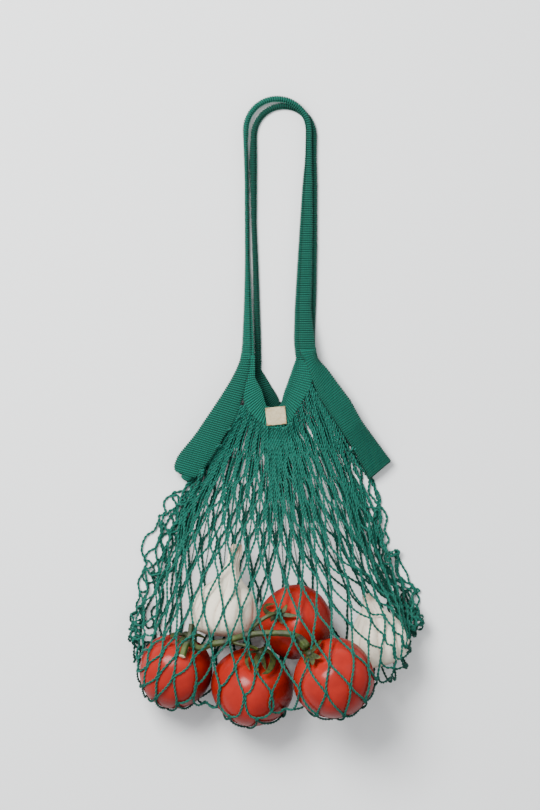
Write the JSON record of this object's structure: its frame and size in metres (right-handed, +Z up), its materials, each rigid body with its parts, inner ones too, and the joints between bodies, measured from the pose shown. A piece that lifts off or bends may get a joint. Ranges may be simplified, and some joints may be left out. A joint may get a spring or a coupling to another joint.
{
  "type": "knitted net shopping bag with vine tomatoes and garlic",
  "caption": "Green knitted net shopping bag lying on its back, with ribbed edging, long shoulder straps and a plain woven label, filled with tomatoes on the vine and garlic bulbs.",
  "frame": {"origin": "middle of the space that the lying bag takes up, on the surface that it lies on", "axes": "+Y from the foot of the bag up to its handles, +Z up off the surface towards the side that shows, +X to the right as it is looked down on"},
  "size_m": [0.2662, 0.5866, 0.1172],
  "materials": {
    "net": "twisted cotton cord, matte",
    "edging": "ribbed cotton knit, matte",
    "label": "plain woven cream label, matte",
    "tomato": "smooth waxy skin, glossy",
    "vine": "green stalk, matte",
    "garlic": "dry papery skin, matte"
  },
  "bodies": {
    "root": {"net_bag": "net", "band_left": "edging", "band_right": "edging", "band_front": "edging", "band_back": "edging", "handle_front": "edging", "handle_back": "edging", "label": "label", "tomato_left": "tomato", "tomato_centre": "tomato", "tomato_right": "tomato", "tomato_back": "tomato", "calyx_left": "vine", "calyx_centre": "vine", "calyx_right": "vine", "calyx_back": "vine", "vine": "vine", "garlic_left": "garlic", "garlic_right": "garlic"}
  },
  "joints": []
}
